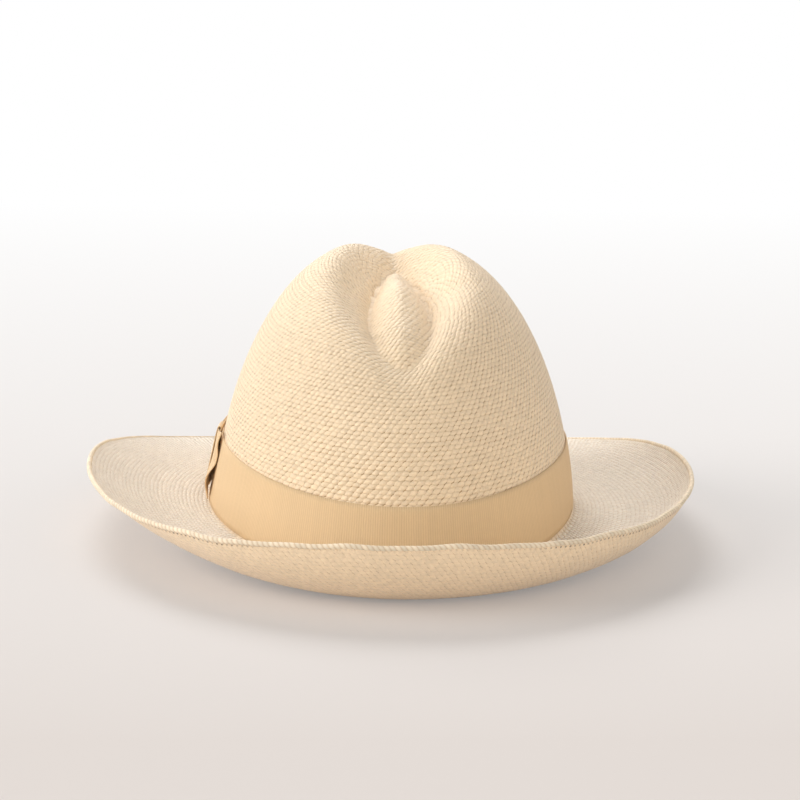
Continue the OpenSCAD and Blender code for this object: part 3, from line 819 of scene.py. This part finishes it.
class StrawSurface:
    """Rings of points joined in order from the top of the crown out to the edge and back up inside."""

    def __init__(self):
        self.points = []
        self.rings = []
        self.quads = []
        self.tris = []
        self.first = 0
        self.depth = 0

    def add(self, count, place, row, edge, straws, deeper=1):
        """A ring of count points. row counts weave rows, edge is the distance from the rope edge, below 0
        on the outside, straws is how many the row has, and deeper is the step on from the last ring."""
        share = (np.arange(count) + 0.5) / count
        self.depth += deeper
        made = {"first": self.first, "angle": share * TURN, "row": row, "depth": self.depth, "edge": edge,
                "straws": straws}
        self.points.append(place(oval_angle(share)))
        self.first += count
        if self.rings:
            self.join(self.rings[-1], made)
        self.rings.append(made)

    def join(self, a, b):
        """Quads between two rings with as many points, or triangles where they differ."""
        n = len(a["angle"])
        if n == len(b["angle"]):
            j = np.arange(n)
            k = (j + 1) % n
            left = a["angle"]
            right = left + TURN / n
            index = np.stack([a["first"] + j, b["first"] + j, b["first"] + k, a["first"] + k], -1)
            angle = np.stack([left, left, right, right], -1)
            self.quads.append((index, angle, (a, b, b, a), b["straws"]))
        else:
            self.zip(a, b)

    def zip(self, a, b):
        """Triangles between two rings with unequal numbers of points."""
        around_a = np.append(a["angle"], a["angle"][0] + TURN)
        around_b = np.append(b["angle"], b["angle"][0] + TURN)
        na = len(a["angle"])
        nb = len(b["angle"])
        i = 0
        j = 0
        for_a = ([], [])
        for_b = ([], [])
        while i < na or j < nb:
            if j == nb or (i < na and around_a[i + 1] <= around_b[j + 1]):
                for_a[0].append([a["first"] + i % na, b["first"] + j % nb, a["first"] + (i + 1) % na])
                for_a[1].append([around_a[i], around_b[j], around_a[i + 1]])
                i += 1
            else:
                for_b[0].append([a["first"] + i % na, b["first"] + j % nb, b["first"] + (j + 1) % nb])
                for_b[1].append([around_a[i], around_b[j], around_b[j + 1]])
                j += 1
        self.tris.append((np.array(for_a[0]), np.array(for_a[1]), (a, b, a), b["straws"]))
        self.tris.append((np.array(for_b[0]), np.array(for_b[1]), (a, b, b), b["straws"]))

    def cap(self, point, top):
        """Closes the first ring, at the top, or the last one with a point."""
        ring = self.rings[0 if top else -1]
        tip = self.first
        self.points.append(np.asarray(point)[None])
        self.first += 1
        n = len(ring["angle"])
        j = np.arange(n) + ring["first"]
        k = (np.arange(n) + 1) % n + ring["first"]
        left = ring["angle"]
        right = left + TURN / n
        middle = (left + right) / 2
        end = dict(ring, row=0, depth=0 if top else self.depth + 1)
        if top:
            self.tris.append((np.stack([np.full(n, tip), j, k], -1), np.stack([middle, left, right], -1),
                              (end, ring, ring), ring["straws"]))
        else:
            self.tris.append((np.stack([j, np.full(n, tip), k], -1), np.stack([left, middle, right], -1),
                              (ring, end, ring), ring["straws"]))

    def piece(self, name, material, slot_name, nodes):
        """The finished mesh with its maps: straws and rows, the edge's twists, and one for baking."""
        faces = []
        maps = {"weave": [], "edge": [], "OFBake": []}
        whole = self.depth + 1
        for index, angle, corners, straws in self.quads + self.tris:
            faces += index.tolist()
            share = angle / TURN
            ones = np.ones(len(angle))[:, None]
            row = ones * [c["row"] for c in corners]
            edge = ones * [c["edge"] for c in corners]
            depth = ones * [c["depth"] for c in corners]
            maps["weave"].append(np.stack([share * straws, row], -1).reshape(-1, 2))
            maps["edge"].append(np.stack([share * EDGE_TWISTS, edge], -1).reshape(-1, 2))
            maps["OFBake"].append(np.stack([share / MAP_ROOM, depth / whole], -1).reshape(-1, 2))
        joined = {label: np.concatenate(parts) for label, parts in maps.items()}
        return new_piece(name, np.concatenate(self.points), faces, material, joined, nodes)


def weave_relief(step, count, depth):
    """Height of the straws at each point of a ring. Odd steps run along the middle of a row."""
    if step % 2 == 0:
        return np.full(count, -0.5 * depth)
    high = depth if step // 2 % 2 else 0.5 * depth
    return np.where((np.arange(count) + step // 2) % 2 == 0, high, -depth)


def crown_steps():
    """Angles up the dome at equal steps along the straw, two to a row and from the top down: the
    directions round the hat that they are for, the angles and the number of rows."""
    look = np.radians(np.arange(0, 362, 2.0))
    fine = np.linspace(0, math.pi / 2, 500)
    lines = dome(look[:, None], dome_share(fine)[None])
    steps = np.linalg.norm(np.diff(lines, axis=1), axis=-1)
    run = np.concatenate([np.zeros((len(look), 1)), np.cumsum(steps, 1)], 1)
    low = np.arccos(girth(wall_h(look, np.full(len(look), BREAK_RADIUS))))
    low_run = np.array([np.interp(a, fine, r) for a, r in zip(low, run)])
    rows = round(float((run[:, -1] - low_run).mean() / ROW_HEIGHT))
    share = np.arange(2 * rows + 1) / (2 * rows)
    angles = np.array([np.interp(r[-1] - share * (r[-1] - s), r, fine) for r, s in zip(run, low_run)])
    return look, angles, rows


def build_straw():
    """Crown and brim outside, the edge's core, then the underside and the inside."""
    surface = StrawSurface()
    look, angles, crown_rows = crown_steps()
    turn = np.linspace(0, TURN, 181)[:-1]

    def up_angle(f, step):
        return np.interp(f % TURN, look, angles[:, step])

    def crown_ring(step, off=None):
        def place(f):
            a = up_angle(f, step)
            height = weave_relief(step, len(f), STRAW_RELIEF) if off is None else off
            return crown(f, a) + crown_normal(f, a) * np.reshape(height, (-1, 1))
        return place

    def level_ring(step):
        return ring_length(dome(turn, dome_share(up_angle(turn, step))))

    last = BRIM_WIDTH - BEAD_R - math.sqrt(BEAD_R ** 2 - STRAW_T ** 2 / 4)
    brim_rows = round((last - BREAK_RADIUS) / ROW_HEIGHT)
    spans = BREAK_RADIUS + (last - BREAK_RADIUS) * np.arange(2 * brim_rows + 1) / (2 * brim_rows)
    wall_counts = crown_straws([level_ring(2 * k + 1) for k in range(crown_rows - 1, -1, -1)])[::-1]
    brim_counts = brim_straws([ring_length(brim(turn, spans[2 * k + 1])) for k in range(brim_rows)])
    for step in range(1, 2 * crown_rows + 1):
        straws = wall_counts[(step - 1) // 2]
        surface.add(2 * straws, crown_ring(step), step / 2, -FAR_FROM_EDGE, straws)
    # The turn of the break, then the brim
    straws = brim_counts[0]
    for k in (2 / 3, 1 / 3):
        def break_ring(f, k=k):
            ends = brim(f, BREAK_RADIUS), wall(f, BREAK_RADIUS)
            return ends[0] * (1 - k) ** 2 + break_line(f) * 2 * k * (1 - k) + ends[1] * k * k
        surface.add(2 * straws, break_ring, crown_rows + 1 - k, -BRIM_WIDTH, straws)
    base_row = crown_rows + 1
    for step in range(2 * brim_rows + 1):
        straws = brim_counts[max(step - 1, 0) // 2]
        def top_ring(f, step=step):
            woven = 0 < step < 2 * brim_rows
            rise = weave_relief(step + 2 * base_row, len(f), STRAW_RELIEF) if woven else 0.0
            return brim(f, spans[step], rise)
        surface.add(2 * straws, top_ring, base_row + step / 2, spans[step] - BRIM_WIDTH, straws)
    # A plain core inside the rope edge
    for a in (50, 0, -50):
        def core_ring(f, a=math.radians(a)):
            up = EDGE_CORE_R * math.sin(a) - STRAW_T / 2
            return brim(f, BRIM_WIDTH - BEAD_R, up, EDGE_CORE_R * math.cos(a))
        surface.add(2 * straws, core_ring, base_row + brim_rows, 0, straws)
    for step in [2 * brim_rows] + list(range(2 * brim_rows - 1, 0, -2)) + [0]:
        straws = brim_counts[min(step, 2 * brim_rows - 1) // 2]
        def under_ring(f, step=step):
            rise = weave_relief(step + 2 * base_row, len(f), UNDER_RELIEF) if step % 2 else 0.0
            return brim(f, spans[step], -STRAW_T - rise)
        surface.add(2 * straws, under_ring, base_row + step / 2, BRIM_WIDTH - spans[step], straws)
    # Inside of the crown, mostly behind the sweatband
    for step in range(2 * crown_rows, 3, -4):
        straws = wall_counts[(step - 1) // 2]
        count = max(straws, FEWEST_INSIDE)
        surface.add(count, crown_ring(step, -STRAW_T), step / 2, FAR_FROM_EDGE, straws, deeper=2)
    top = crown(0.0, math.pi / 2)
    surface.cap(top, top=True)
    surface.cap(top - [0, 0, STRAW_T], top=False)
    surface.piece("straw_body_woven", straw, "straw", ["straw_body"])


build_straw()


def build_rope_edge():
    """The twisted edge that finishes the brim."""
    samples = 4 * EDGE_TWISTS
    sides = 12
    f = np.arange(samples) / samples * TURN
    a = np.arange(sides) / sides * TURN
    phase = f[:, None] * EDGE_TWISTS + 2 * a[None]
    r = BEAD_R * (0.88 + 0.12 * np.abs(np.sin(phase / 2)))
    points = brim(f[:, None], BRIM_WIDTH - BEAD_R, r * np.sin(a) - STRAW_T / 2, r * np.cos(a))
    faces, ci, cj = grid_faces(samples, sides, True, True)
    uv = np.stack([ci / 4, cj / sides], -1).reshape(-1, 2)
    new_piece("rope_edge", points.reshape(-1, 3), faces[:, ::-1].tolist(), rope,
              {"cloth": uv.reshape(-1, 4, 2)[:, ::-1]})


build_rope_edge()


# Ribbon band and bow

def rib_wave(count):
    """Relief of the ribs with four points to a rib."""
    return np.array([0.0, 0.75, 1.0, 0.75])[np.arange(count) % 4]


def build_ribbon():
    """The band round the crown's base. Its ends meet under the bow."""
    half = RIBBON_JOINT / 2 / HALF_LENGTH
    count = 4 * round(RIBBON_LENGTH / RIB_PITCH) + 1
    f = even_angles(BOW_ANGLE + half, BOW_ANGLE + TURN - half, count)
    v = np.linspace(0, 1, 13)
    up = RIBBON_LOW + RIBBON_HEIGHT * v
    out = RIBBON_OUT - RIB_RELIEF + RIB_RELIEF * rib_wave(count)
    outer = wall(f[:, None], up[None], out[:, None])
    inner = wall(f[:, None], up[None], RIBBON_IN)
    return strip_piece("hat_ribbon_grosgrain", outer, inner, False, np.arange(count) / 4, v, grosgrain,
                       ["hat_ribbon"])


ribbon_piece = build_ribbon()


def bow_point(s, y, off):
    """A point on the bow: along it from its middle, up from its middle and off the straw."""
    return wall(BOW_ANGLE - s / HALF_LENGTH, BOW_MIDDLE + y, off)


def bow_reach(s):
    """0 in the middle of the bow and 1 at its ends."""
    return (np.abs(s) / BOW_HALF_LENGTH) ** 2


def swell(x):
    """A smooth hump from -1 to 1."""
    return np.maximum(1 - x * x, 0) ** 2


def bow_lift(s, y):
    """The bow's ends lie on the band but for two pockets, a wide one below and a narrow one above it."""
    k = y / BOW_END_HEIGHT
    low = BOW_LIFT_LOW * swell((k + 0.23) / 0.29)
    return bow_reach(s) * (low + BOW_LIFT_HIGH * swell((k - 0.34) / 0.2) - BOW_SINK)


def loop_point(a, k, side):
    """A point of the bow's strip: a turns round the loop and k runs across the ribbon from -1 to 1."""
    s = (BOW_HALF_LENGTH + side * BOW_T / 2) * signed_power(np.cos(a), 0.55)
    reach = bow_reach(s)
    gap = WAIST_GAP + (BOW_FOLD - WAIST_GAP) * reach
    y = k * (BOW_WAIST_HEIGHT + (BOW_END_HEIGHT - BOW_WAIST_HEIGHT) * np.minimum(reach, 1)) / 2
    middle = LOOP_MID + bow_lift(s, y) + (gap - WAIST_GAP) / 2
    return bow_point(s, y, middle + (gap + side * BOW_T) / 2 * signed_power(np.sin(a), 0.55))


def even_loop(place, pitch):
    """Angles round a loop at equal distances, four to a rib."""
    a = np.linspace(0, TURN, 6001)
    run = np.concatenate([[0], np.cumsum(np.linalg.norm(np.diff(place(a), axis=0), axis=-1))])
    count = 4 * round(run[-1] / pitch)
    return np.interp(np.arange(count) / count * run[-1], run, a)


def build_bow_loops():
    """The bow's ribbon, one closed strip that makes two flat loops."""
    a = even_loop(lambda t: loop_point(t, 0.0, 0.0), RIB_PITCH)
    k = np.linspace(-1, 1, 49)
    side = 1 - LOOP_RIB_SHARE + LOOP_RIB_SHARE * rib_wave(len(a))
    outer = loop_point(a[:, None], k[None], side[:, None])
    inner = loop_point(a[:, None], k[None], -1.0)
    return strip_piece("bow_loops_grosgrain", outer, inner, True, np.arange(len(a)) / 4, (k + 1) / 2,
                       grosgrain, ["bow_loops"])


bow_piece = build_bow_loops()


def knot_point(a, s, grow):
    """A point of the ribbon wrapped round the bow's waist."""
    high = BOW_WAIST_HEIGHT / 2 + BOW_GAP + 0.5 + grow
    deep = WAIST_GAP / 2 + BOW_T / 2 + BOW_GAP + grow
    up = high * signed_power(np.cos(a), 0.4)
    return bow_point(s, up, LOOP_MID + deep * signed_power(np.sin(a), 0.4))


def build_bow_knot():
    """The short ribbon round the bow's waist."""
    a = even_loop(lambda t: knot_point(t, 0.0, BOW_T), RIB_PITCH)
    v = np.linspace(0, 1, 9)
    s = KNOT_WIDTH * (v - 0.5)
    grow = BOW_T - KNOT_RIB_RELIEF + KNOT_RIB_RELIEF * rib_wave(len(a))
    outer = knot_point(a[:, None], s[None], grow[:, None])
    inner = knot_point(a[:, None], s[None], 0.0)
    return strip_piece("bow_knot_grosgrain", outer[::-1], inner[::-1], True, np.arange(len(a)) / 4, v,
                       grosgrain, ["bow_knot"])


knot_piece = build_bow_knot()


# Sweatband and its small parts

def build_sweatband():
    """The leather strip inside the crown's base. Its ends meet at the back."""
    half = SEAM_GAP / 2 / HALF_WIDTH
    count = 361
    f = even_angles(BACK + half, BACK + TURN - half, count)
    v = np.linspace(0, 1, 17)
    up = SWEAT_LOW + SWEAT_HEIGHT * v
    # The leather is soft: its upper edge waves a little, and its back lies a little off the tape
    waves = 23
    soft = 0.12 * np.sin(np.arange(count) / (count - 1) * TURN * waves)[:, None] * v[None] ** 2
    outer = wall(f[:, None], up[None], SWEAT_OUT - 0.06)
    inner = wall(f[:, None], up[None], SWEAT_IN - soft)
    return strip_piece("sweatband_leather", outer, inner, False, np.arange(count) / 4, v, leather,
                       ["sweatband"])


sweat_piece = build_sweatband()


def build_reed_tape():
    """The tape runs down behind the sweatband, round the reed and back up to itself."""
    turn = np.radians(np.linspace(0, -325, 27))
    radius = TUBE_R - TAPE_T / 2
    flap_z = np.linspace(SWEAT_LOW + TAPE_FLAP, REED_Z + 0.4, 7)
    middle = np.concatenate([
        np.stack([np.full(7, TAPE_OUT - TAPE_T / 2), flap_z], -1),
        np.stack([REED_OFF + radius * np.cos(turn), REED_Z + radius * np.sin(turn)], -1)])
    way = np.gradient(middle, axis=0)
    way = way / np.linalg.norm(way, axis=-1, keepdims=True)
    beside = np.stack([-way[:, 1], way[:, 0]], -1) * TAPE_T / 2
    f = np.arange(240) / 240 * TURN
    sides = [middle + beside, middle - beside]
    outer, inner = (wall(f[:, None], q[None, :, 1], q[None, :, 0]) for q in sides)
    v = np.linspace(0, 1, len(middle))
    return strip_piece("reed_tape_cotton", outer, inner, True, np.arange(240) * 3.0, v, cotton,
                       ["reed_tape"])


tape_piece = build_reed_tape()


def build_seam_tab():
    """The tab behind the sweatband's seam."""
    half = SEAM_TAB_WIDTH / 2 / HALF_WIDTH
    f = np.linspace(BACK - half, BACK + half, 17)
    v = np.linspace(0, 1, 13)
    low = SWEAT_LOW + TAPE_FLAP + 1
    up = low + (SWEAT_HEIGHT - TAPE_FLAP - 3) * v
    middle = (SWEAT_OUT - STRAW_T) / 2
    outer = wall(f[:, None], up[None], middle + TAPE_T / 2)
    inner = wall(f[:, None], up[None], middle - TAPE_T / 2)
    return strip_piece("seam_tab_cotton", outer, inner, False, np.arange(17) * 1.5, v, cotton,
                       ["seam_tab"])


tab_piece = build_seam_tab()


def small_bow_point(s, y, off):
    """A point on the small bow: along it, up from its middle and off the leather."""
    return wall(BACK + s / HALF_WIDTH, SWEAT_LOW + SMALL_BOW_UP + y, SWEAT_IN - off)


def small_loop(a, k, side):
    """A point of the small bow's strip: a turns round the loop and k runs across it from -1 to 1."""
    s = (SMALL_BOW_HALF_LENGTH + side) * signed_power(np.cos(a), 0.6)
    reach = (s / SMALL_BOW_HALF_LENGTH) ** 2
    y = k * SMALL_BOW_HEIGHT / 2 * (0.75 + 0.25 * np.minimum(reach, 1))
    open_half = 0.3 + 0.75 * reach + side
    return small_bow_point(s, y, SMALL_BOW_OFF + 0.35 * reach + open_half * signed_power(np.sin(a), 0.6))


def build_small_bow():
    """The small bow over the sweatband's seam, two loops and a knot."""
    a = even_loop(lambda t: small_loop(t, 0.0, 0.0), 1.0)
    k = np.linspace(-1, 1, 9)
    outer = small_loop(a[:, None], k[None], 0.2)
    inner = small_loop(a[:, None], k[None], -0.2)
    strip_piece("small_bow_loops", outer, inner, True, np.arange(len(a)) / 4, (k + 1) / 2, satin,
                ["sweatband_bow"])
    turn = np.linspace(0, TURN, 25)[:-1]
    s = np.linspace(-2, 2, 9)
    plump = (1 - 0.12 * (s / 2) ** 4)[:, None]
    y = (SMALL_BOW_HEIGHT / 2 - 0.4) * plump * signed_power(np.cos(turn), 0.6)[None]
    off = SMALL_BOW_OFF + plump * signed_power(np.sin(turn), 0.6)[None]
    rings = small_bow_point(s[:, None], y, off)[None]
    tube_piece("small_bow_knot", rings, s, np.linspace(0, 1, 25), satin, [])


build_small_bow()


def thread_piece(name, middles, ways, lengths, node):
    """Short stitches of twisted thread with rounded ends."""
    t = np.linspace(0, 1, 9)
    taper = np.sqrt(np.clip(1 - np.abs(2 * t - 1) ** 6, 0.12, 1))
    a = np.arange(8) / 8 * TURN
    twist = 1 + 0.08 * np.cos(2 * (a[None] - t[:, None] * 8))
    rings = []
    for middle, way, length in zip(middles, ways, lengths):
        side = np.cross(way, [0.3, 0.2, 0.93] if abs(way[2]) < 0.8 else [0.9, 0.3, 0.2])
        side = side / np.linalg.norm(side)
        other = np.cross(way, side)
        line = middle + np.outer((t - 0.5) * length, way)
        r = THREAD_D / 2 * taper[:, None] * twist
        circle = np.cos(a)[:, None] * side + np.sin(a)[:, None] * other
        rings.append(line[:, None] + r[..., None] * circle[None])
    tube_piece(name, np.array(rings), t * 5, np.arange(9) / 8, pale_thread, [node])


def level_way(f):
    """The level direction along the crown's oval."""
    o = outward(np.asarray(f, float))
    return np.stack([-o[..., 1], o[..., 0], 0 * o[..., 0]], -1)


def build_threads():
    """Tacks that hold the bow, tacks along the ribbon and the sweatband's row of stitches."""
    s = BOW_HALF_LENGTH - 4
    low = RIBBON_OUT + 0.05
    high = LOOP_IN + float(bow_lift(s, 0)) - 0.05
    turns = BOW_ANGLE - np.array([-s, s]) / HALF_LENGTH
    thread_piece("bow_tacks_thread", wall(turns, BOW_MIDDLE, (low + high) / 2), outward(turns),
                 [high - low] * 2, "bow_tacks")
    f = np.radians(RIBBON_TACK_ANGLES)
    thread_piece("ribbon_tacks_thread", wall(f, RIBBON_LOW + 4, RIBBON_OUT + THREAD_D / 2 + 0.02),
                 np.tile([0.0, 0.0, 1.0], (len(f), 1)), [TACK_LENGTH] * len(f), "ribbon_tacks")
    f = BACK + (np.arange(STITCH_COUNT) + 0.5) / STITCH_COUNT * TURN
    thread_piece("sweatband_stitches_thread", wall(f, SWEAT_LOW + 2, SWEAT_IN - THREAD_D / 2 - 0.02),
                 level_way(f), [STITCH_LENGTH] * STITCH_COUNT, "sweatband_stitches")


build_threads()

# The reed in the tape keeps its solid and gets its own finish
reed_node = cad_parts["sweatband_reed"]
reed_node.data.materials.clear()
reed_node.data.materials.append(reed_finish)


# Floor, light and camera

def seen_directly(tree):
    """1 for the camera's rays and for those that a shiny or clear surface sends on."""
    path = add_node(tree, "LightPath")
    return calc(tree, "MAXIMUM", path.outputs["Is Camera Ray"], calc(
        tree, "MAXIMUM", path.outputs["Is Glossy Ray"], path.outputs["Is Transmission Ray"]))


def make_floor():
    """A wide pale floor that keeps the hat's shadow."""
    mesh = bpy.data.meshes.new("floor")
    radius = 9
    turn = np.linspace(0, TURN, 65)[:-1]
    rim = np.stack([radius * np.cos(turn), radius * np.sin(turn), 0 * turn], -1)
    mesh.from_pydata(rim.tolist(), [], [list(range(len(rim)))])
    made = bpy.data.materials.new("pale_floor")
    made.use_nodes = True
    tree = made.node_tree
    shader = tree.nodes["Principled BSDF"]
    shader.inputs["Base Color"].default_value = FLOOR_PALE
    shader.inputs["Roughness"].default_value = 0.8
    shader.inputs["Specular IOR Level"].default_value = 0.1
    # To the camera the floor fades into the white room behind the hat
    place = add_node(tree, "SeparateXYZ", {"Vector": add_node(tree, "TexCoord").outputs["Object"]})
    far = add_node(tree, "MapRange", {"Value": place.outputs["Y"], "From Min": -0.3, "From Max": 0.9})
    fade = calc(tree, "POWER", far.outputs[0], 0.8)
    seen = calc(tree, "MULTIPLY", seen_directly(tree), fade)
    white = add_node(tree, "Emission", {"Color": WHITE, "Strength": 1.0})
    both = add_node(tree, "MixShader", {0: seen, 1: shader.outputs[0], 2: white.outputs[0]})
    put(tree.nodes["Material Output"].inputs["Surface"], both.outputs[0])
    mesh.materials.append(made)
    floor = bpy.data.objects.new("floor", mesh)
    bpy.context.scene.collection.objects.link(floor)


make_floor()


def add_sun(name, energy, angle, way, colour=(1, 1, 1)):
    """A broad light that shines from a direction."""
    lamp = bpy.data.lights.new(name, "SUN")
    lamp.energy = energy
    lamp.color = colour
    lamp.angle = math.radians(angle)
    sun = bpy.data.objects.new(name, lamp)
    sun.rotation_mode = "QUATERNION"
    sun.rotation_quaternion = Vector(way).to_track_quat("Z", "Y")
    bpy.context.scene.collection.objects.link(sun)


def make_light():
    """Broad lights from the photo's left and from behind the hat, warmer ones from the camera's side and
    the right, and a pale room."""
    add_sun("key_light", energy=2.0, angle=40, way=(-0.92, -0.06, 0.39))
    add_sun("back_light", energy=1.75, angle=28, way=(-0.15, 0.75, 0.62))
    add_sun("right_light", energy=0.5, angle=60, way=(0.93, -0.2, 0.3), colour=WARM)
    add_sun("front_light", energy=1.0, angle=60, way=(0, -0.985, 0.17), colour=WARM)
    world = bpy.data.worlds.new("pale_room")
    world.use_nodes = True
    tree = world.node_tree
    room = tree.nodes["Background"]
    put(room.inputs["Color"], (*WARM, 1))
    put(room.inputs["Strength"], 0.38)
    white = add_node(tree, "Background", {"Color": WHITE, "Strength": 1.0})
    both = add_node(tree, "MixShader", {0: seen_directly(tree), 1: room.outputs[0], 2: white.outputs[0]})
    put(tree.nodes["World Output"].inputs["Surface"], both.outputs[0])
    bpy.context.scene.world = world


make_light()


def make_camera():
    """The photo's view: from behind the hat, a little above it."""
    distance = 1.3
    target = Vector((0.0043, 0.0, 0.0584))
    rise = math.radians(13.6)
    swing = math.radians(-3.0)
    roll = math.radians(1.12)
    back = Vector((math.sin(swing) * math.cos(rise), -math.cos(swing) * math.cos(rise), math.sin(rise)))
    level = Vector((math.cos(swing), math.sin(swing), 0))
    over = back.cross(level)
    right = level * math.cos(roll) + over * math.sin(roll)
    up = over * math.cos(roll) - level * math.sin(roll)
    data = bpy.data.cameras.new("photo_view")
    data.sensor_width = 36.0
    data.lens = 122.2
    data.clip_start = 0.05
    data.clip_end = 50.0
    camera = bpy.data.objects.new("photo_view", data)
    place = Matrix((right, up, back)).transposed().to_4x4()
    place.translation = target + back * distance
    camera.matrix_world = place
    bpy.context.scene.collection.objects.link(camera)
    bpy.context.scene.camera = camera


make_camera()
bpy.context.scene.view_settings.view_transform = "Standard"
